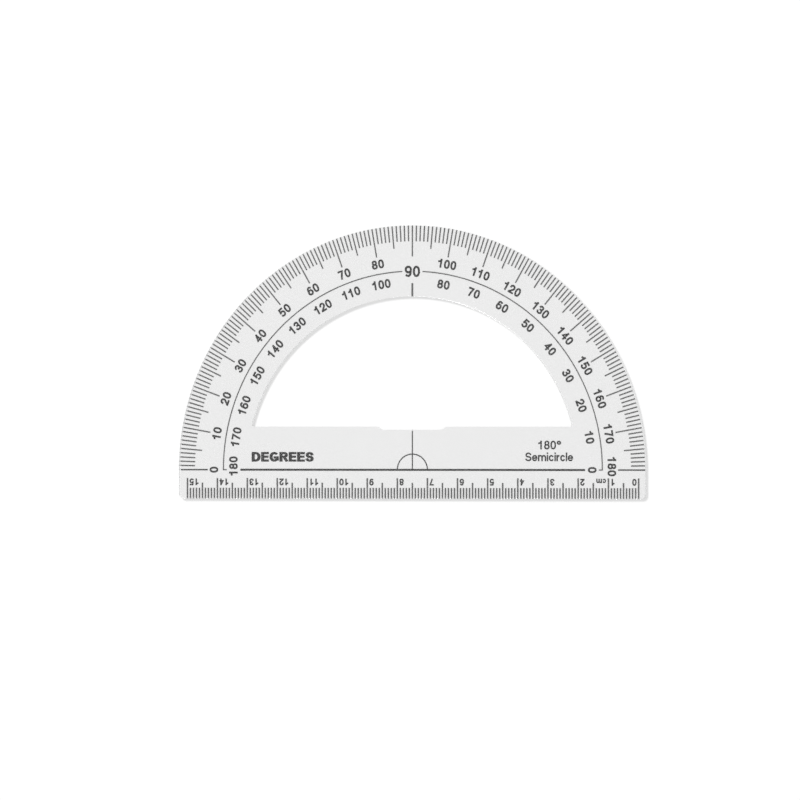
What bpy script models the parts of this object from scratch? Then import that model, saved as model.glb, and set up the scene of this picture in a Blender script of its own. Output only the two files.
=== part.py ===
"""Half-circle protractor with a 15 cm ruler edge.

The protractor is one flat plate of clear plastic with a half-ring window.  Its
line work is ink in shallow grooves in the plate's underside, so that the marks
touch the paper and are read through the plastic.  The plate lies in the XY
plane with its underside at z = 0.  The origin is the centre mark, +X runs
along the base line and +Y points to the 90 degree mark.
"""
import math

import bmesh
import bpy

MM = 0.001

# Driving dimensions of the plate
SCALE_RADIUS = 77.5 * MM      # outer edge of the degree scale, round the centre mark
RULER_DEPTH = 9.15 * MM       # from the base line down to the ruler edge
THICKNESS = 2.0 * MM
EDGE_ROUND = 0.2 * MM         # moulded rounding along every edge
CORNER_RADIUS = 1.6 * MM      # the two lower corners

# Half-ring window between the scale and the bar
WINDOW_RADIUS = 55.0 * MM
WINDOW_FLOOR = 13.7 * MM      # upper edge of the bar, above the base line
WINDOW_CORNER = 0.6 * MM

# Shallow recess in the middle of the bar's upper edge, over the centre mark
RECESS_DEPTH = 1.0 * MM
RECESS_MOUTH = 23.2 * MM
RECESS_FLOOR = 19.4 * MM
RECESS_ROUND = 0.8 * MM

# Ink in grooves in the underside
GROOVE_DEPTH = 0.08 * MM
INK_THICKNESS = 0.04 * MM
INK_CLEARANCE = 0.02 * MM     # all round a film of ink in its groove
BASE_LINE_WIDTH = 0.6 * MM
BASE_LINE_HALF = 57.3 * MM
ZERO_LINE_WIDTH = 0.42 * MM
ZERO_LINE_OUTER = 77.25 * MM
ZERO_LINE_INNER = 68.2 * MM
FINE_LINE_WIDTH = 0.34 * MM
CENTRE_MARK_RADIUS = 5.0 * MM
SCALE_ARC_RADIUS = 63.0 * MM
SCALE_ARC_GAP = 3.4 * MM      # half of the gap that the numeral 90 stands in
SCALE_ARC_FOOT = 1.0 * MM
MARK_90_WIDTH = 0.6 * MM
MARK_90_INNER = 55.25 * MM
MARK_90_OUTER = 59.2 * MM

ARC_STEP = math.radians(2)
CORNER_STEPS = 5

RIGHT_ANGLE = math.pi / 2


# ---------------------------------------------------------------- outlines

def arc(centre, radius, start, end, steps=None):
    """Points along a circular arc, both ends included."""
    if steps is None:
        steps = max(1, round(abs(end - start) / ARC_STEP))
    angles = (start + (end - start) * i / steps for i in range(steps + 1))
    return [(centre[0] + radius * math.cos(a), centre[1] + radius * math.sin(a)) for a in angles]


def rounded(corners, radius):
    """An open run of straight lines whose inner corners are arcs of one radius."""
    points = [corners[0]]
    for before, corner, after in zip(corners, corners[1:], corners[2:]):
        heading_in = math.atan2(corner[1] - before[1], corner[0] - before[0])
        heading_out = math.atan2(after[1] - corner[1], after[0] - corner[0])
        turn = math.remainder(heading_out - heading_in, 2 * math.pi)
        side = math.copysign(RIGHT_ANGLE, turn)
        setback = radius * math.tan(abs(turn) / 2)
        start = (corner[0] - setback * math.cos(heading_in), corner[1] - setback * math.sin(heading_in))
        centre = (start[0] + radius * math.cos(heading_in + side),
                  start[1] + radius * math.sin(heading_in + side))
        points += arc(centre, radius, heading_in - side, heading_in - side + turn, CORNER_STEPS)
    return points + [corners[-1]]


def plate_outline():
    """Half circle on top, straight sides and two rounded lower corners."""
    corner_x = SCALE_RADIUS - CORNER_RADIUS
    corner_y = CORNER_RADIUS - RULER_DEPTH
    points = arc((0, 0), SCALE_RADIUS, 0, math.pi)
    points += arc((-corner_x, corner_y), CORNER_RADIUS, math.pi, 1.5 * math.pi, CORNER_STEPS)
    points += arc((corner_x, corner_y), CORNER_RADIUS, 1.5 * math.pi, 2 * math.pi, CORNER_STEPS)
    return points


def window_outline():
    """Arc of the window, closed by the bar's upper edge with its recess."""
    corner_y = WINDOW_FLOOR + WINDOW_CORNER
    corner_x = math.sqrt((WINDOW_RADIUS - WINDOW_CORNER) ** 2 - corner_y ** 2)
    lean = math.atan2(corner_y, corner_x)
    points = arc((0, 0), WINDOW_RADIUS, lean, math.pi - lean)
    points += arc((-corner_x, corner_y), WINDOW_CORNER, math.pi - lean, 1.5 * math.pi, CORNER_STEPS)[1:]
    recess_y = WINDOW_FLOOR - RECESS_DEPTH
    half = [(corner_x / 2, WINDOW_FLOOR), (RECESS_MOUTH / 2, WINDOW_FLOOR), (RECESS_FLOOR / 2, recess_y)]
    points += rounded([(-x, y) for x, y in half] + half[::-1], RECESS_ROUND)
    points += arc((corner_x, corner_y), WINDOW_CORNER, -RIGHT_ANGLE, lean, CORNER_STEPS)[:-1]
    return points


def line_outline(start, end, width):
    """Rectangle round a straight line from start to end."""
    length = math.dist(start, end)
    across = (-(end[1] - start[1]) / length * width / 2, (end[0] - start[0]) / length * width / 2)
    return [(start[0] - across[0], start[1] - across[1]), (end[0] - across[0], end[1] - across[1]),
            (end[0] + across[0], end[1] + across[1]), (start[0] + across[0], start[1] + across[1])]


def ring_outline(radius, start, end, width):
    """Strip of one width along an arc."""
    outer = arc((0, 0), radius + width / 2, start, end)
    inner = arc((0, 0), radius - width / 2, end, start)
    return outer + inner


# ------------------------------------------------------------------ solids

def make_material(name, colour, roughness, transmission=0.0):
    """Principled material for one kind of surface."""
    material = bpy.data.materials.new(name)
    material.use_nodes = True
    material.diffuse_color = (*colour, 1.0)
    shader = material.node_tree.nodes["Principled BSDF"]
    shader.inputs["Base Color"].default_value = (*colour, 1.0)
    shader.inputs["Roughness"].default_value = roughness
    shader.inputs["Metallic"].default_value = 0.0
    shader.inputs["Transmission Weight"].default_value = transmission
    return material


def make_slab(name, outlines, collection, material, thickness, level, edge=0.0, grow=0.0):
    """Flat solid of the given thickness, centred on the height level.

    The outlines are closed loops: the first is the outside, others are holes.
    The solid's edges are rounded by edge, and it is larger than its outlines
    by grow on every side.
    """
    curve = bpy.data.curves.new(name, "CURVE")
    curve.dimensions = "2D"
    curve.fill_mode = "BOTH"
    curve.extrude = thickness / 2 - edge
    curve.bevel_depth = edge
    curve.bevel_resolution = 1
    curve.offset = grow - edge
    for outline in outlines:
        spline = curve.splines.new("POLY")
        spline.points.add(len(outline) - 1)
        for point, (x, y) in zip(spline.points, outline):
            point.co = (x, y, 0, 1)
        spline.use_cyclic_u = True
    outline_object = bpy.data.objects.new(name + "_outline", curve)
    outline_object.location.z = level
    collection.objects.link(outline_object)
    bpy.context.view_layer.update()

    evaluated = outline_object.evaluated_get(bpy.context.evaluated_depsgraph_get())
    mesh = bpy.data.meshes.new_from_object(evaluated)
    mesh.name = name
    weld = bmesh.new()
    weld.from_mesh(mesh)
    bmesh.ops.remove_doubles(weld, verts=weld.verts, dist=0.001 * MM)
    bmesh.ops.recalc_face_normals(weld, faces=weld.faces)
    weld.to_mesh(mesh)
    weld.free()

    slab = bpy.data.objects.new(name, mesh)
    slab.matrix_world = outline_object.matrix_world
    collection.objects.link(slab)
    bpy.data.objects.remove(outline_object)
    mesh.materials.clear()
    mesh.materials.append(material)
    return slab


def add_boolean(target, tool, operation, cutters):
    """Exact boolean of tool on target; the tool moves to the cutters."""
    boolean = target.modifiers.new(operation.lower() + "_" + tool.name, "BOOLEAN")
    boolean.operation = operation
    boolean.solver = "EXACT"
    boolean.object = tool
    for collection in tool.users_collection:
        collection.objects.unlink(tool)
    cutters.objects.link(tool)
    tool.display_type = "WIRE"
    tool.hide_render = True


def make_ink(name, outline, plate, collection, cutters, material):
    """One mark: a groove in the plate's underside, and a thin film of ink inside it."""
    groove = make_slab(name + "_groove", [outline], collection, material,
                       2 * GROOVE_DEPTH, 0, grow=INK_CLEARANCE)
    add_boolean(plate, groove, "DIFFERENCE", cutters)
    return make_slab(name, [outline], collection, material, INK_THICKNESS, GROOVE_DEPTH / 2)


# ------------------------------------------------------------------- model

def make_plate(collection, material):
    plate = make_slab("plate", [plate_outline(), window_outline()], collection, material,
                      THICKNESS, THICKNESS / 2, EDGE_ROUND)
    plate.data.shade_smooth()
    plate.data.set_sharp_from_angle(angle=math.radians(30))
    return plate


def make_base_line(plate, collection, cutters, material):
    """Base line with its centre mark: a half circle and the line to 90 degrees."""
    base_outline = line_outline((-BASE_LINE_HALF, 0), (BASE_LINE_HALF, 0), BASE_LINE_WIDTH)
    base_line = make_ink("base_line", base_outline, plate, collection, cutters, material)
    line_top = WINDOW_FLOOR - RECESS_DEPTH - 2 * EDGE_ROUND
    centre_line = make_ink("centre_line", line_outline((0, 0), (0, line_top), FINE_LINE_WIDTH),
                           plate, collection, cutters, material)
    centre_arc = make_ink("centre_arc", ring_outline(CENTRE_MARK_RADIUS, 0, math.pi, FINE_LINE_WIDTH),
                          plate, collection, cutters, material)
    add_boolean(base_line, centre_line, "UNION", cutters)
    add_boolean(base_line, centre_arc, "UNION", cutters)


def make_zero_line(side, name, plate, collection, cutters, material):
    """Short stretch of the base line that crosses the degree scale."""
    outline = line_outline((side * ZERO_LINE_INNER, 0), (side * ZERO_LINE_OUTER, 0), ZERO_LINE_WIDTH)
    make_ink(name, outline, plate, collection, cutters, material)


def make_scale_arc(side, name, plate, collection, cutters, material):
    """Line between the two rows of numerals, with a short foot on the base line."""
    gap_angle = math.acos(SCALE_ARC_GAP / SCALE_ARC_RADIUS)
    outer = arc((0, 0), SCALE_ARC_RADIUS + FINE_LINE_WIDTH / 2, 0, gap_angle)
    inner = arc((0, 0), SCALE_ARC_RADIUS - FINE_LINE_WIDTH / 2, gap_angle, 0)
    foot_x = SCALE_ARC_RADIUS - FINE_LINE_WIDTH / 2 - SCALE_ARC_FOOT
    foot = [(inner[-1][0], FINE_LINE_WIDTH / 2), (foot_x, FINE_LINE_WIDTH / 2),
            (foot_x, -FINE_LINE_WIDTH / 2), (outer[0][0], -FINE_LINE_WIDTH / 2)]
    outline = [(side * x, y) for x, y in outer + inner[:-1] + foot]
    make_ink(name, outline, plate, collection, cutters, material)


def make_mark_90(plate, collection, cutters, material):
    """Heavy line from the window up to the numeral 90."""
    make_ink("mark_90", line_outline((0, MARK_90_INNER), (0, MARK_90_OUTER), MARK_90_WIDTH),
             plate, collection, cutters, material)


def main():
    for old in list(bpy.data.objects):
        bpy.data.objects.remove(old)
    protractor = bpy.data.collections.new("protractor")
    cutters = bpy.data.collections.new("cutters")
    bpy.context.scene.collection.children.link(protractor)
    bpy.context.scene.collection.children.link(cutters)

    clear_plastic = make_material("clear_plastic", (0.92, 0.93, 0.93), 0.08, transmission=0.9)
    ink = make_material("ink", (0.04, 0.04, 0.04), 0.5)

    plate = make_plate(protractor, clear_plastic)
    make_base_line(plate, protractor, cutters, ink)
    for side, word in ((-1, "left"), (1, "right")):
        make_zero_line(side, "zero_line_" + word, plate, protractor, cutters, ink)
        make_scale_arc(side, "scale_arc_" + word, plate, protractor, cutters, ink)
    make_mark_90(plate, protractor, cutters, ink)


main()
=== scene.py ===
# %% [markdown]
# # A half-circle protractor in clear plastic
#
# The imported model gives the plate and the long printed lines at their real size.
# This notebook adds what makes it a protractor to look at: a finely rounded clear
# plate, 179 degree ticks, 151 ruler ticks, the numerals of both scales, two labels,
# and finishes for clear plastic and for ink. The ink is on the underside, against
# the paper, and is read through the plate, so no line throws a shadow beside
# itself. All lengths are in metres. The origin is the centre mark on the
# underside, +X runs along the base line and +Y points to 90 degrees.

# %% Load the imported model
import math

import bpy
import numpy as np
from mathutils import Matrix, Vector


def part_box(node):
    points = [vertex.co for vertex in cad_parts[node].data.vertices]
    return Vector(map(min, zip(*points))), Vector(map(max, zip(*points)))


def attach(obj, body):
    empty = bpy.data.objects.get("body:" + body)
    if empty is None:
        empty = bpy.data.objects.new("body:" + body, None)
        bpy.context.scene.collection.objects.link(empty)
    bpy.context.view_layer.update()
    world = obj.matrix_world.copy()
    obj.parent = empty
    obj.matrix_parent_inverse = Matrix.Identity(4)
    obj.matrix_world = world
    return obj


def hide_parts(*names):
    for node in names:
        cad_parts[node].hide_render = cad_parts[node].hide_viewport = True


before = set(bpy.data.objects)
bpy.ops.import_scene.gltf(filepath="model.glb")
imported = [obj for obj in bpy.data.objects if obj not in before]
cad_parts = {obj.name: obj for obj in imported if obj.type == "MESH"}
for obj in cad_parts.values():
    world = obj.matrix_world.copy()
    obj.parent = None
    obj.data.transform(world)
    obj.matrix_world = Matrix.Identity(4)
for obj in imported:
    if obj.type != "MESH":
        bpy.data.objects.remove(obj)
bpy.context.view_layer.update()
print("CAD nodes:", sorted(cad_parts))

# %% [markdown]
# ## Sizes
#
# The plate's outside sizes are read from its packed box, and the ink's levels from
# a packed line. What a box can't say is named here: the plate's rounded edges and
# corners, its window, and the recess in its bar.

# %% Driving sizes
MM = 0.001
low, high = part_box("plate")
SCALE_RADIUS = high.x
RULER_EDGE = low.y
THICKNESS = high.z
EDGE_ROUND = 0.2 * MM
CORNER_RADIUS = 1.6 * MM
WINDOW_RADIUS = 55.0 * MM
WINDOW_FLOOR = 13.7 * MM
WINDOW_CORNER = 0.6 * MM
RECESS_DEPTH = 1.0 * MM
RECESS_MOUTH = 23.2 * MM
RECESS_FLOOR = 19.4 * MM
INK_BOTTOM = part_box("base_line")[0].z
INK_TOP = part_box("base_line")[1].z
print(f"plate {high.x - low.x:.4f} x {high.y - low.y:.4f} x {THICKNESS:.4f} m, ink top {INK_TOP:.5f} m")

# %% [markdown]
# ## Meshes from grids
#
# Every new piece is worked out as numpy arrays of points and faces. The plate and
# the strokes of the letters are grids: their faces follow from a grid's two sizes,
# and a closed direction wraps round to its start. Boxes and strips could also be
# bmesh primitives, one at a time, but hundreds of small marks are quicker and
# clearer as arrays.

# %% Grid helpers
def grid_faces(rows, columns, wrap_rows=False, wrap_columns=False):
    """Quads between neighbours in a grid whose point (i, j) has index i * columns + j."""
    i = np.arange(rows if wrap_rows else rows - 1)[:, None]
    j = np.arange(columns if wrap_columns else columns - 1)[None, :]
    down, right = (i + 1) % rows, (j + 1) % columns
    corners = [i * columns + j, down * columns + j, down * columns + right, i * columns + right]
    return np.stack(corners, axis=-1).reshape(-1, 4)


def join(solids):
    """Several (points, faces) pairs as one, each pair's faces counted on from the last."""
    starts = np.cumsum([0] + [len(points) for points, faces in solids])
    faces = [faces + start for (points, faces), start in zip(solids, starts)]
    return np.concatenate([points for points, faces in solids]), np.concatenate(faces)


def make_object(name, points, faces, material, slot_name, smooth=None):
    """Object at the origin with its place in its mesh, riding on the one body there is."""
    mesh = bpy.data.meshes.new(name)
    mesh.from_pydata(points.tolist(), [], faces.tolist())
    if smooth is not None:
        mesh.polygons.foreach_set("use_smooth", smooth)
    mesh.materials.append(material)
    mesh.update()
    piece = bpy.data.objects.new(name, mesh)
    bpy.context.scene.collection.objects.link(piece)
    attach(piece, "root")
    print(f"{name}: {len(points)} points, {len(faces)} faces")
    return piece


# %% [markdown]
# ## Shader maths in Python
#
# A node graph is easier to read as an expression. `Wire` wraps a socket, and
# adding or multiplying wires adds the Math node that does it. Every other node
# comes from `Graph.node`, which sets the node's own settings first and then its
# sockets, from values or from wires.

# %% Sums and products of sockets
class Wire:
    """An output socket that takes part in sums and products."""

    def __init__(self, graph, socket):
        self.graph = graph
        self.socket = socket

    def maths(self, operation, first, second):
        """Math node whose inputs are the two values or wires, in that order."""
        return self.graph.node("ShaderNodeMath", {"operation": operation}, {0: first, 1: second})

    def __add__(self, other):
        return self.maths("ADD", self, other)

    def __sub__(self, other):
        return self.maths("SUBTRACT", self, other)

    def __rsub__(self, other):
        return self.maths("SUBTRACT", other, self)

    def __mul__(self, other):
        return self.maths("MULTIPLY", self, other)

    __radd__ = __add__
    __rmul__ = __mul__


print("sockets now add, subtract and multiply")

# %% Nodes of one material
class Graph:
    """The nodes of one new material."""

    def __init__(self, name):
        self.material = bpy.data.materials.new(name)
        self.material.use_nodes = True
        self.tree = self.material.node_tree
        self.tree.nodes.clear()

    def node(self, kind, settings=None, sockets=None, output=0):
        """New node of a kind: its own settings first, then its sockets, from values or wires."""
        made = self.tree.nodes.new(kind)
        for name, value in (settings or {}).items():
            setattr(made, name, value)
        for key, value in (sockets or {}).items():
            if isinstance(value, Wire):
                self.tree.links.new(value.socket, made.inputs[key])
            else:
                made.inputs[key].default_value = value
        return Wire(self, made.outputs[output]) if made.outputs else None

    def noise(self, scale, detail=2.0, roughness=0.5):
        """Noise from 0 to 1 in the object's own coordinates, with scale in blobs per metre."""
        place = self.node("ShaderNodeTexCoord", output="Object")
        sockets = {"Vector": place, "Scale": scale, "Detail": detail, "Roughness": roughness}
        return self.node("ShaderNodeTexNoise", sockets=sockets, output="Fac")

    def mix_colour(self, share, first, second):
        """Colour from first to second as share goes from 0 to 1."""
        return self.node("ShaderNodeMix", {"data_type": "RGBA"}, {0: share, 6: first, 7: second}, output=2)

    def bump(self, height, distance):
        """Normal tilted by the slope of a height from 0 to 1 that stands for distance in metres."""
        return self.node("ShaderNodeBump", sockets={"Height": height, "Distance": distance})

    def finish(self, shader):
        """The material, with the shader as its surface."""
        self.node("ShaderNodeOutputMaterial", sockets={"Surface": shader})
        return self.material


# %% [markdown]
# ## Clear plastic
#
# The plate is clear polystyrene. A refracting Principled shader gives its gloss
# and the bent light in its edges. Real clear plastic also lets lamp light fall
# through to the table, which a path tracer finds only by luck, so rays from the
# lamps and rays that leave the table see a Transparent shader with the same loss
# instead. Light that is about to leave through an edge is thrown back into the
# plate, and that is what draws the soft grey line on the table along the edges
# away from the lamp. The edge's stand-in is therefore dark from the outside and
# clear from the inside. The upright walls are also frosted, as moulded walls are,
# so they glow pale instead of showing a dark outline. The rounded rim above them
# is polished like the faces, and only its shadow is the wall's.

# %% Clear plastic finishes
PLASTIC_IOR = 1.5
POLISHED = 0.015
FROSTED = 0.3
HAZE_ROUGHNESS = 0.03
HAZE_SCALE = 60.0
RIPPLE_SCALE = 35.0
RIPPLE_DEPTH = 0.02 * MM
WALL_TRANSMISSION = 0.15
FACE_PASS = 0.955
FACE_TINT = (0.882, 0.898)
EDGE_PASS_OUT = 0.12
EDGE_TINT = (0.88, 0.94)


def grey(level):
    """Opaque colour with red, green and blue all at one level."""
    return (level, level, level, 1.0)


def clear_plastic(name, tint, polish, transmission, pass_outside):
    """Refracting plastic, with Transparent in its place for lamp and table rays. A lamp
    ray from outside keeps pass_outside of its light there, and the others FACE_PASS."""
    graph = Graph(name)
    haze = graph.noise(HAZE_SCALE, detail=3.0)
    ripple = graph.noise(RIPPLE_SCALE, detail=1.0)
    solid = graph.node("ShaderNodeBsdfPrincipled", sockets={
        "Base Color": graph.mix_colour(haze, grey(tint[0]), grey(tint[1])),
        "Roughness": polish + haze * HAZE_ROUGHNESS,
        "IOR": PLASTIC_IOR,
        "Transmission Weight": transmission,
        "Normal": graph.bump(ripple, RIPPLE_DEPTH),
    })
    lamp_ray = graph.node("ShaderNodeLightPath", output="Is Shadow Ray")
    table_ray = graph.node("ShaderNodeLightPath", output="Is Diffuse Ray")
    passed = graph.node("ShaderNodeBsdfTransparent", sockets={"Color": grey(FACE_PASS)})
    shader = graph.node("ShaderNodeMixShader", sockets={0: lamp_ray + table_ray, 1: solid, 2: passed})
    if pass_outside != FACE_PASS:
        inside = graph.node("ShaderNodeNewGeometry", output="Backfacing")
        dimmed = graph.node("ShaderNodeBsdfTransparent", sockets={"Color": grey(pass_outside)})
        shader = graph.node("ShaderNodeMixShader", sockets={0: lamp_ray * (1 - inside), 1: shader, 2: dimmed})
    return graph.finish(shader)


plastic_face = clear_plastic("clear_plastic_face", FACE_TINT, POLISHED, 1.0, FACE_PASS)
plastic_edge = clear_plastic("clear_plastic_edge", EDGE_TINT, FROSTED, WALL_TRANSMISSION, EDGE_PASS_OUT)
plastic_rim = clear_plastic("clear_plastic_rim", FACE_TINT, POLISHED, 1.0, EDGE_PASS_OUT)
print("plastic finishes:", plastic_face.name, plastic_edge.name, plastic_rim.name)

# %% [markdown]
# ## Ink
#
# Screen ink is a thin black film, dull next to the plastic, with small changes
# of tone and a faint grain where it dried. The ticks, the scale line and the mark
# at 90 take less ink than the base line and the letters, and dry to a dark grey.

# %% Ink finish
PATCH_SCALE = 400.0
GRAIN_SCALE = 6000.0
GRAIN_DEPTH = 0.004 * MM
SMOOTHEST_INK = 0.4
GRAIN_ROUGHNESS = 0.2


def printed_ink(name, darkest, palest):
    """Opaque grey from darkest to palest in patches, and rougher where the grain is high."""
    graph = Graph(name)
    patches = graph.noise(PATCH_SCALE)
    grain = graph.noise(GRAIN_SCALE)
    return graph.finish(graph.node("ShaderNodeBsdfPrincipled", sockets={
        "Base Color": graph.mix_colour(patches, grey(darkest), grey(palest)),
        "Roughness": SMOOTHEST_INK + grain * GRAIN_ROUGHNESS,
        "Normal": graph.bump(grain, GRAIN_DEPTH),
    }))


THINLY_PRINTED = ("scale_arc_left", "scale_arc_right", "mark_90")

ink = printed_ink("printed_ink", 0.008, 0.02)
thin_ink = printed_ink("printed_ink_thin", 0.06, 0.11)
for node_name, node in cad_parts.items():
    node.data.materials.clear()
    node.data.materials.append(plastic_face if node_name == "plate" else
                               thin_ink if node_name in THINLY_PRINTED else ink)
print("ink on", len(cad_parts) - 1, "packed lines")

# %% [markdown]
# ## The plate
#
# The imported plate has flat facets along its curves, which show in clear plastic.
# This piece follows the same outline much more finely. Two closed loops with the
# same number of points, the outer edge and the window, are joined by one section:
# up the outer wall, back over the top, down the window's wall and out along the
# underside. A loop is moved sideways along its own normals to make the rounded
# edges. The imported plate's shallow ink grooves are left out: ink and plastic are
# bonded, so here each film lies just inside the underside.

# %% Loops of the plate
ARCH_POINTS = 481
SIDE_POINTS = 24
FLOOR_POINTS = 121
MIDDLE_CROWDING = 1.3


def arc(centre, radius, start, end, count):
    """Points on a circle: centre plus radius times (cos, sin), with the angle even from start to end."""
    angle = np.linspace(start, end, count)
    return np.stack([centre[0] + radius * np.cos(angle), centre[1] + radius * np.sin(angle)], axis=-1)


def recess_height(x):
    """Bar's upper edge: the window floor, lowered towards the recess by its depth times a
    smooth step, three times the square less twice the cube of the way down the ramp."""
    ramp = (RECESS_MOUTH - RECESS_FLOOR) / 2
    share = np.clip((RECESS_MOUTH / 2 - np.abs(x)) / ramp, 0, 1)
    return WINDOW_FLOOR - RECESS_DEPTH * share * share * (3 - 2 * share)


def outer_loop():
    """Half circle, then each side as a lower corner's quarter circle, with the ruler edge between."""
    x, y = SCALE_RADIUS - CORNER_RADIUS, RULER_EDGE + CORNER_RADIUS
    arch = arc((0, 0), SCALE_RADIUS, 0, math.pi, ARCH_POINTS)
    left = arc((-x, y), CORNER_RADIUS, math.pi, 1.5 * math.pi, SIDE_POINTS)
    right = arc((x, y), CORNER_RADIUS, 1.5 * math.pi, 2 * math.pi, SIDE_POINTS)
    along = np.linspace(-x, x, FLOOR_POINTS + 2)[1:-1]
    floor = np.stack([along, np.full_like(along, RULER_EDGE)], axis=-1)
    return np.concatenate([arch, left, floor, right])


def window_loop():
    """Arc of the window, then its small corners, with the bar's upper edge between. Points
    on that edge crowd to the recess: even steps from -1 to 1, raised to a power over 1."""
    y = WINDOW_FLOOR + WINDOW_CORNER
    x = math.sqrt((WINDOW_RADIUS - WINDOW_CORNER) ** 2 - y ** 2)
    lean = math.atan2(y, x)
    arch = arc((0, 0), WINDOW_RADIUS, lean, math.pi - lean, ARCH_POINTS)
    left = arc((-x, y), WINDOW_CORNER, math.pi - lean, 1.5 * math.pi, SIDE_POINTS + 1)[1:]
    right = arc((x, y), WINDOW_CORNER, 1.5 * math.pi, 2 * math.pi + lean, SIDE_POINTS + 1)[:-1]
    edge = np.linspace(-1, 1, FLOOR_POINTS + 2)[1:-1]
    along = np.sign(edge) * np.abs(edge) ** MIDDLE_CROWDING * x
    floor = np.stack([along, recess_height(along)], axis=-1)
    return np.concatenate([arch, left, floor, right])


def sideways(loop):
    """Unit normal at each point, to the left of the way round, from its two neighbours."""
    along = np.roll(loop, -1, axis=0) - np.roll(loop, 1, axis=0)
    along /= np.linalg.norm(along, axis=1, keepdims=True)
    return np.stack([-along[:, 1], along[:, 0]], axis=-1)


outer, window = outer_loop(), window_loop()
print("loops of", len(outer), "and", len(window), "points")

# %% Plate section carried round the loops
ROUND_STEPS = 5


def plate_points():
    """Grid of section points by loop points. A rounded edge's point at angle a lies in
    from the wall by the edge radius times 1 - sin a, and off the face by 1 - cos a."""
    angle = np.linspace(0, math.pi / 2, ROUND_STEPS + 1)
    inward, rise = EDGE_ROUND * (1 - np.sin(angle)), EDGE_ROUND * (1 - np.cos(angle))
    inset = np.concatenate([inward, inward[::-1]])
    level = np.concatenate([rise, THICKNESS - rise[::-1]])
    outer_wall = outer[None] + sideways(outer)[None] * inset[:, None, None]
    inner_wall = window[None] - sideways(window)[None] * inset[::-1, None, None]
    flat = np.concatenate([outer_wall, inner_wall])
    heights = np.concatenate([level, level[::-1]])[:, None, None] * np.ones((1, len(outer), 1))
    return np.concatenate([flat, heights], axis=-1)


section = plate_points()
plate_faces = grid_faces(*section.shape[:2], wrap_rows=True, wrap_columns=True)[:, ::-1]
wall_rows = 2 * ROUND_STEPS + 1
face_row = np.repeat(np.arange(section.shape[0]), section.shape[1])
is_flat = (face_row == wall_rows) | (face_row == section.shape[0] - 1)
row_height = section[:, 0, 2]
upper = (row_height + np.roll(row_height, -1)) / 2 > THICKNESS - EDGE_ROUND
is_rim = ~is_flat & upper[face_row]
moulded_plate = make_object("moulded_plate", section.reshape(-1, 3), plate_faces, plastic_face,
                            "clear_plastic", smooth=~is_flat)
moulded_plate.data.materials.append(plastic_edge)
moulded_plate.data.materials.append(plastic_rim)
moulded_plate.data.polygons.foreach_set("material_index", np.where(is_flat, 0, np.where(is_rim, 2, 1)))
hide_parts("plate")

# %% [markdown]
# ## Ticks
#
# Each tick is a thin bar of ink. All the ticks of a scale are one array: the
# eight corners of a bar, stretched and turned for every tick at once.

# %% Bars of ink
BAR_FACES = np.array([[0, 3, 2, 1], [4, 5, 6, 7], [0, 1, 5, 4], [1, 2, 6, 5], [2, 3, 7, 6], [3, 0, 4, 7]])


def ink_bars(start, end, width):
    """One bar from each start point to its end point: corners lie half a width to
    either side of the line, on the ink's lower and upper levels."""
    along = end - start
    along = along / np.linalg.norm(along, axis=1, keepdims=True)
    across = np.stack([-along[:, 1], along[:, 0]], axis=-1) * width / 2
    ring = np.stack([start - across, end - across, end + across, start + across], axis=1)
    flat = np.concatenate([ring, ring], axis=1)
    height = np.repeat([INK_BOTTOM, INK_TOP], 4)[None, :, None] * np.ones((len(start), 1, 1))
    points = np.concatenate([flat, height], axis=-1).reshape(-1, 3)
    faces = (BAR_FACES[None] + 8 * np.arange(len(start))[:, None, None]).reshape(-1, 4)
    return points, faces


# %% Degree scale
TICK_WIDTH = 0.4 * MM
TICK_INSET = 0.12 * MM
TICK_OUTER = SCALE_RADIUS - TICK_INSET
TICK_INNER = {"one": 72.5 * MM, "five": 70.4 * MM, "ten": 68.4 * MM, "ninety": 67.7 * MM}

degree = np.arange(1, 180)
inner = np.full(len(degree), TICK_INNER["one"])
inner[degree % 5 == 0] = TICK_INNER["five"]
inner[degree % 10 == 0] = TICK_INNER["ten"]
inner[degree == 90] = TICK_INNER["ninety"]
outwards = np.stack([np.cos(np.radians(degree)), np.sin(np.radians(degree))], axis=-1)
make_object("degree_ticks", *ink_bars(outwards * inner[:, None], outwards * TICK_OUTER, TICK_WIDTH), thin_ink,
            "ink")

# %% Ruler scale
RULER_LENGTH = 150
RULER_TICK_WIDTH = 0.49 * MM
RULER_TICK_FOOT = RULER_EDGE + EDGE_ROUND + 0.05 * MM
RULER_TICK_TOP = {"one": -5.75 * MM, "five": -4.13 * MM, "ten": -2.65 * MM}

millimetre = np.arange(RULER_LENGTH + 1)
tick_x = (RULER_LENGTH / 2 - millimetre) * MM
top = np.full(len(millimetre), RULER_TICK_TOP["one"])
top[millimetre % 5 == 0] = RULER_TICK_TOP["five"]
top[millimetre % 10 == 0] = RULER_TICK_TOP["ten"]
foot = np.stack([tick_x, np.full_like(tick_x, RULER_TICK_FOOT)], axis=-1)
make_object("ruler_ticks", *ink_bars(foot, np.stack([tick_x, top], axis=-1), RULER_TICK_WIDTH), thin_ink,
            "ink")

# %% [markdown]
# ## Lettering
#
# The numerals are plain upright sans-serif ones. A letter could be a text object,
# but the built-in font is lighter and has no flag on its 1, so the letters are
# drawn as a pen would: each stroke is a path, and a flat strip of ink of the
# pen's width is carried along it. Paths are in a unit box that is the letter's
# body less the pen's width.

# %% Strips of ink along a path
MITRE_LIMIT = 1.6
LEAST_OPENING = 0.001


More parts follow.
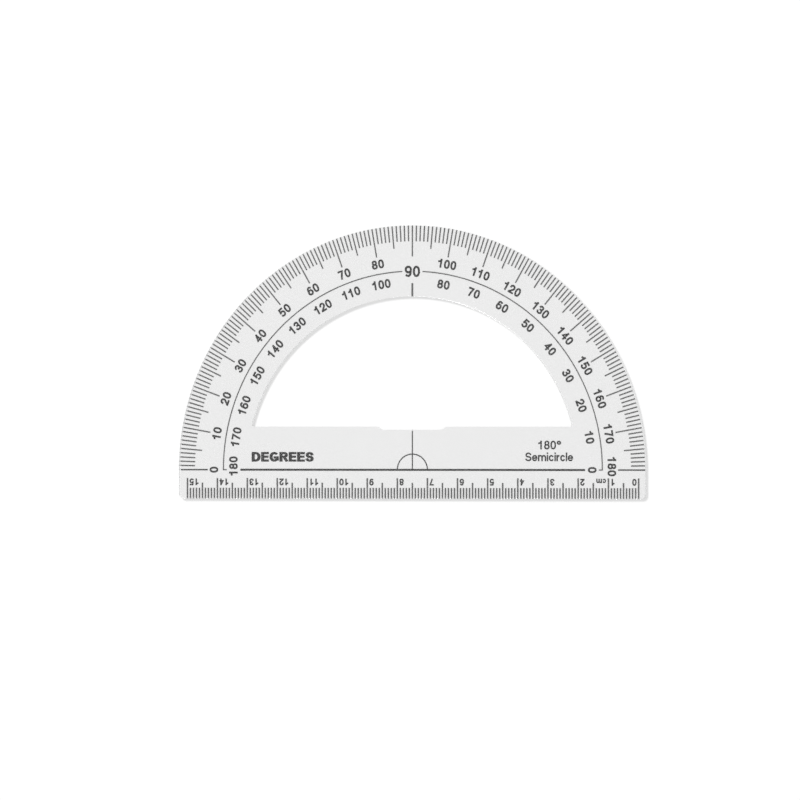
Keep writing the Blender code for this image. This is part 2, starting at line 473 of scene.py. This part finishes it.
def strip(path, width, lift=0.0):
    """Rectangle of ink carried along a path, and half its width beyond each end. At a
    corner the strip's sides meet on the mitre: the sum of the two normals, over 1 plus
    their dot product."""
    closed = np.allclose(path[0], path[-1])
    if closed:
        path = path[:-1]
    else:
        tips = np.array([path[0] - path[1], path[-1] - path[-2]])
        tips /= np.linalg.norm(tips, axis=1, keepdims=True)
        path = np.concatenate([path[:1] + tips[:1] * width / 2, path[1:-1], path[-1:] + tips[1:] * width / 2])
    step = np.roll(path, -1, axis=0) - path
    step /= np.linalg.norm(step, axis=1, keepdims=True)
    after = np.stack([-step[:, 1], step[:, 0]], axis=-1)
    before = np.roll(after, 1, axis=0)
    if not closed:
        before[0], after[-1] = after[0], before[-1]
    mitre = (before + after) / np.maximum(1 + (before * after).sum(axis=1, keepdims=True), LEAST_OPENING)
    length = np.linalg.norm(mitre, axis=1, keepdims=True)
    side = mitre * np.minimum(1, MITRE_LIMIT / length) * width / 2
    flat = np.stack([path + side, path - side, path - side, path + side], axis=1)
    height = np.array([INK_BOTTOM, INK_BOTTOM, INK_TOP, INK_TOP])[None, :, None] + lift
    points = np.concatenate([flat, height * np.ones((len(path), 1, 1))], axis=-1).reshape(-1, 3)
    faces = grid_faces(len(path), 4, wrap_rows=closed, wrap_columns=True)
    if not closed:
        last = 4 * len(path) - 4
        faces = np.concatenate([faces, [[0, 1, 2, 3], [last + 3, last + 2, last + 1, last]]])
    return points, faces


# %% Paths of letters
BOW_STEP = 9


def bow(x, y, across, up, start, end, square=2.0):
    """Part of an oval between two angles in degrees. Powers of the sine and cosine
    make it squarer than an ellipse where square is over 2."""
    angle = np.radians(np.linspace(start, end, max(3, int(abs(end - start) / BOW_STEP))))
    turn = np.stack([np.cos(angle), np.sin(angle)], axis=-1)
    return np.array([x, y]) + np.array([across, up]) * np.sign(turn) * np.abs(turn) ** (2 / square)


def run(*pieces):
    """Pieces of path, each a bow or a single point, joined end to end."""
    return np.concatenate([np.reshape(np.array(piece, float), (-1, 2)) for piece in pieces])


# %% [markdown]
# Each letter has its body's width, counted in its height, and its strokes. A
# stroke that runs into another is a path of its own, so that it can lie a hair
# higher, and a 9 is a 6 turned upside down.

# %% Digits
SIX = [run(bow(0.54, 0.62, 0.48, 0.38, 55, 172, 2.2), (0, 0.32)), bow(0.5, 0.3, 0.5, 0.3, 180, 540, 2.2)]

LETTERS = {
    "0": (0.66, [bow(0.5, 0.5, 0.5, 0.5, 0, 360, 2.3)]),
    "1": (0.66, [run((0.62, 0), (0.62, 1)), run((0.1, 0.74), (0.42, 0.8), (0.6, 0.97))]),
    "2": (0.66, [run(bow(0.5, 0.7, 0.48, 0.3, 172, -28, 2.2), (0.1, 0.08)), run((0, 0), (1, 0))]),
    "3": (0.66, [bow(0.48, 0.76, 0.44, 0.24, 160, -90, 2.2), bow(0.48, 0.26, 0.5, 0.26, 90, -160, 2.2)]),
    "4": (0.66, [run((0.74, 0), (0.74, 1)), run((0.7, 0.95), (0.0, 0.28), (1.0, 0.28))]),
    "5": (0.66, [run((0.9, 1), (0.16, 1), (0.07, 0.52)), bow(0.48, 0.31, 0.52, 0.31, 135, -138, 2.2)]),
    "6": (0.66, SIX),
    "7": (0.66, [run((0, 1), (1, 1), (0.72, 0.62), (0.48, 0.25), (0.38, 0))]),
    "8": (0.66, [bow(0.5, 0.76, 0.43, 0.24, 90, 450, 2.2), bow(0.5, 0.26, 0.5, 0.26, 90, 450, 2.2)]),
    "9": (0.66, [1 - stroke for stroke in SIX]),
    "°": (0.52, [bow(0.5, 0.82, 0.5, 0.18, 0, 360)]),
}

# %% Letters of the labels
X_HEIGHT = 0.66

LETTERS |= {
    "D": (0.80, [run((0, 0), (0, 1), (0.4, 1), bow(0.4, 0.5, 0.6, 0.5, 80, -80, 2.2), (0.4, 0), (0, 0))]),
    "E": (0.70, [run((1, 1), (0, 1), (0, 0), (1, 0)), run((0, 0.52), (0.92, 0.52))]),
    "G": (0.84, [bow(0.5, 0.5, 0.5, 0.5, 60, 315, 2.2), run((1, 0.14), (1, 0.42), (0.66, 0.42))]),
    "R": (0.78, [run((0, 0), (0, 1)), run((0.55, 0.5), (0.98, 0)),
                 run((0, 1), (0.6, 1), bow(0.6, 0.76, 0.36, 0.24, 80, -80, 2.2), (0.6, 0.5), (0, 0.5))]),
    "S": (0.74, [run(bow(0.5, 0.75, 0.46, 0.25, 20, 250, 2.2), bow(0.5, 0.25, 0.5, 0.25, 75, -160, 2.2))]),
    "l": (0.16, [run((0, 0), (0, 1))]),
    "c": (0.60, [bow(0.52, 0.33, 0.5, 0.33, 45, 315, 2.1)]),
    "i": (0.16, [run((0, 0), (0, X_HEIGHT)), run((0, 0.98), (0, 1))]),
    "r": (0.37, [run((0, 0), (0, X_HEIGHT)), bow(1.0, 0.26, 0.95, 0.4, 150, 92)]),
    "e": (0.63, [run((0.08, 0.34), (0.92, 0.34)), bow(0.5, 0.33, 0.5, 0.33, 2, 315, 2.1)]),
    "m": (0.98, [run((0, 0), (0, X_HEIGHT)), run(bow(0.25, 0.44, 0.25, 0.22, 180, 0), (0.5, 0)),
                 run(bow(0.75, 0.44, 0.25, 0.22, 180, 0), (1, 0))]),
}
print("letters drawn:", "".join(sorted(LETTERS)))

# %% [markdown]
# A word is laid out along its own base line, and then turned so that its upright
# direction is the one asked for. On the degree scale that direction is outwards,
# so the word stands on the circle like the numerals of a clock.

# %% Words
LETTER_GAP = 0.1
PEN = 0.2
STROKE_LIFT = 0.002 * MM


def word_width(text, height, gap=LETTER_GAP, wide=1.0):
    """Bodies of the letters and the gaps between them."""
    return height * (wide * sum(LETTERS[letter][0] for letter in text) + gap * (len(text) - 1))


def word(text, height, centre, up, pen=PEN, gap=LETTER_GAP, wide=1.0, stem=1.0):
    """Strips of ink for a word whose middle is at centre and whose letters stand along up.
    Paths are squeezed before the pen runs along them and stretched after, by stem, which
    makes upright strokes that many times as thick as level ones."""
    up = np.array(up, float)
    right = np.array([up[1], -up[0]])
    corner = np.array(centre) - right * word_width(text, height, gap, wide) / 2 - up * height / 2
    width = pen * height
    strips = []
    advance = 0.0
    for letter in text:
        body, strokes = LETTERS[letter]
        for order, path in enumerate(strokes):
            x = advance + stem * width / 2 + path[:, :1] * max(body * wide * height - stem * width, 0)
            y = width / 2 + path[:, 1:] * (height - width)
            points, faces = strip(np.concatenate([x / stem, y], axis=1), width, order * STROKE_LIFT)
            flat = corner + points[:, :1] * stem * right + points[:, 1:2] * up
            strips.append((np.concatenate([flat, points[:, 2:]], axis=1), faces))
        advance += (body * wide + gap) * height
    return strips


# %% Numerals of the degree scale
OUTER_ROW = 66.15 * MM
INNER_ROW = 59.65 * MM
NUMERAL_HEIGHT = 2.85 * MM
LAST_OUTER_SHIFT = 1.15 * MM
LAST_INNER_SHIFT = 1.1 * MM
HEIGHT_OF_90 = 3.55 * MM
MIDDLE_OF_90 = 62.95 * MM


def scale_row(radius, reading, last_shift):
    """Numerals round the scale, one every 10 degrees but for 90, standing outwards.
    The last one, 180, is moved up off the ruler."""
    strips = []
    for angle in range(0, 181, 10):
        if angle != 90:
            number = reading(angle)
            up = np.array([math.cos(math.radians(angle)), math.sin(math.radians(angle))])
            shift = np.array([0, last_shift if number == 180 else 0])
            strips += word(str(number), NUMERAL_HEIGHT, up * radius + shift, up)
    return join(strips)


make_object("outer_numerals", *scale_row(OUTER_ROW, lambda angle: 180 - angle, LAST_OUTER_SHIFT), ink, "ink")
make_object("inner_numerals", *scale_row(INNER_ROW, lambda angle: angle, LAST_INNER_SHIFT), ink, "ink")
make_object("numeral_90", *join(word("90", HEIGHT_OF_90, (0, MIDDLE_OF_90), (0, 1), pen=0.19)), ink, "ink")

# %% [markdown]
# The ruler is read with the protractor turned round, so its numerals stand the
# other way up, each close beside its tick.

# %% Numerals of the ruler
RULER_NUMERAL_HEIGHT = 2.15 * MM
RULER_NUMERAL_MIDDLE = -3.88 * MM
RULER_NUMERAL_GAP = 0.7 * MM
UNIT_HEIGHT = 1.9 * MM
UNIT_MIDDLE = (62.6 * MM, -3.7 * MM)

ruler_words = []
for centimetre in range(RULER_LENGTH // 10 + 1):
    side = -1 if centimetre == 0 else 1
    reach = RULER_NUMERAL_GAP + word_width(str(centimetre), RULER_NUMERAL_HEIGHT) / 2
    middle = (tick_x[10 * centimetre] + side * reach, RULER_NUMERAL_MIDDLE)
    ruler_words += word(str(centimetre), RULER_NUMERAL_HEIGHT, middle, (0, -1))
make_object("ruler_numerals", *join(ruler_words), ink, "ink")
make_object("ruler_unit", *join(word("cm", UNIT_HEIGHT, UNIT_MIDDLE, (0, -1))), ink, "ink")

# %% [markdown]
# Two plain labels stand on the bar: a bold word on the left, and what the scale
# covers on the right.

# %% Labels
BOLD_HEIGHT = 3.05 * MM
BOLD_MIDDLE = (-43.2 * MM, 4.1 * MM)
BOLD = {"pen": 0.225, "gap": 0.07, "wide": 1.21, "stem": 1.5}
PLAIN_HEIGHT = 2.75 * MM
RANGE_MIDDLE = (45.5 * MM, 7.9 * MM)
SHAPE_MIDDLE = (45.4 * MM, 4.15 * MM)

scale_label = word("DEGREES", BOLD_HEIGHT, BOLD_MIDDLE, (0, 1), **BOLD)
shape_label = word("180°", PLAIN_HEIGHT, RANGE_MIDDLE, (0, 1), pen=0.17)
shape_label += word("Semicircle", PLAIN_HEIGHT, SHAPE_MIDDLE, (0, 1), pen=0.165, gap=0.08)
make_object("label_degrees", *join(scale_label), ink, "ink")
make_object("label_semicircle", *join(shape_label), ink, "ink")

# %% [markdown]
# ## Stage, light and camera
#
# The protractor lies on a plain pale surface under soft studio light. One broad
# lamp stands high at the upper left, and an even white surround fills the rest.
# The lamp is left out of mirrored light, so its glare never hides the print. The
# camera is far away with a very long lens, so nothing converges. It looks down on
# the print and leans to the right of straight above, just enough to make the
# plate look 4.9 percent taller for its width.

# %% Floor
FLOOR_HALF = 12.0
FLOOR_LEVEL = -0.02 * MM
FIBRE_SCALE = 800.0
PAPER_TONES = (0.80, 0.81)


def pale_surface():
    """Dull pale paper whose tone wanders a little between its two tones."""
    graph = Graph("pale_surface")
    fibre = graph.noise(FIBRE_SCALE)
    return graph.finish(graph.node("ShaderNodeBsdfPrincipled", sockets={
        "Base Color": graph.mix_colour(fibre, grey(PAPER_TONES[0]), grey(PAPER_TONES[1])),
        "Roughness": 0.9,
        "Specular IOR Level": 0.0,
    }))


corners = np.array([[-1, -1], [1, -1], [1, 1], [-1, 1]]) * FLOOR_HALF
floor_points = np.concatenate([corners, np.full((4, 1), FLOOR_LEVEL)], axis=1)
floor_mesh = bpy.data.meshes.new("floor")
floor_mesh.from_pydata(floor_points.tolist(), [], [[0, 1, 2, 3]])
floor_mesh.materials.append(pale_surface())
floor = bpy.data.objects.new("floor", floor_mesh)
bpy.context.scene.collection.objects.link(floor)

# %% Lights
KEY_REACH = 3.0
KEY_SIZE = 0.9
KEY_POWER = 39.5
KEY_FROM = np.array([-0.225, 0.45, 1.0])
SURROUND = 0.89

surround = bpy.data.worlds.new("white_surround")
surround.use_nodes = True
surround.node_tree.nodes["Background"].inputs["Color"].default_value = (1, 1, 1, 1)
surround.node_tree.nodes["Background"].inputs["Strength"].default_value = SURROUND
bpy.context.scene.world = surround

key_light = bpy.data.lights.new("key_light", "AREA")
key_light.shape = "DISK"
key_light.size = KEY_SIZE
key_light.energy = KEY_POWER
key = bpy.data.objects.new("key_light", key_light)
direction = KEY_FROM / np.linalg.norm(KEY_FROM)
key.location = direction * KEY_REACH
key.rotation_euler = (-key.location).to_track_quat("-Z", "Y").to_euler()
key.visible_glossy = False
bpy.context.scene.collection.objects.link(key)
print(f"lamp {KEY_REACH} m away, {math.degrees(math.asin(direction[2])):.0f} degrees high")

# %% Camera
LENS = 1000.0
SENSOR = 36.0
VIEW_ACROSS = 253.7 * MM
HEIGHT_PER_WIDTH = 1.0486
LEAN = math.acos(1 / HEIGHT_PER_WIDTH)
AIM = np.array([-3.70, 22.15, 2.0]) * MM

camera_data = bpy.data.cameras.new("camera")
camera_data.lens = LENS
camera_data.sensor_width = SENSOR
camera_data.clip_start = 0.1
camera_data.clip_end = 100.0
camera = bpy.data.objects.new("camera", camera_data)
distance = VIEW_ACROSS * LENS / SENSOR
camera.location = AIM + distance * np.array([math.sin(LEAN), 0, math.cos(LEAN)])
camera.rotation_euler = (0, LEAN, 0)
bpy.context.scene.collection.objects.link(camera)
bpy.context.scene.camera = camera
bpy.context.scene.view_settings.view_transform = "Standard"
print(f"camera {distance:.2f} m away")
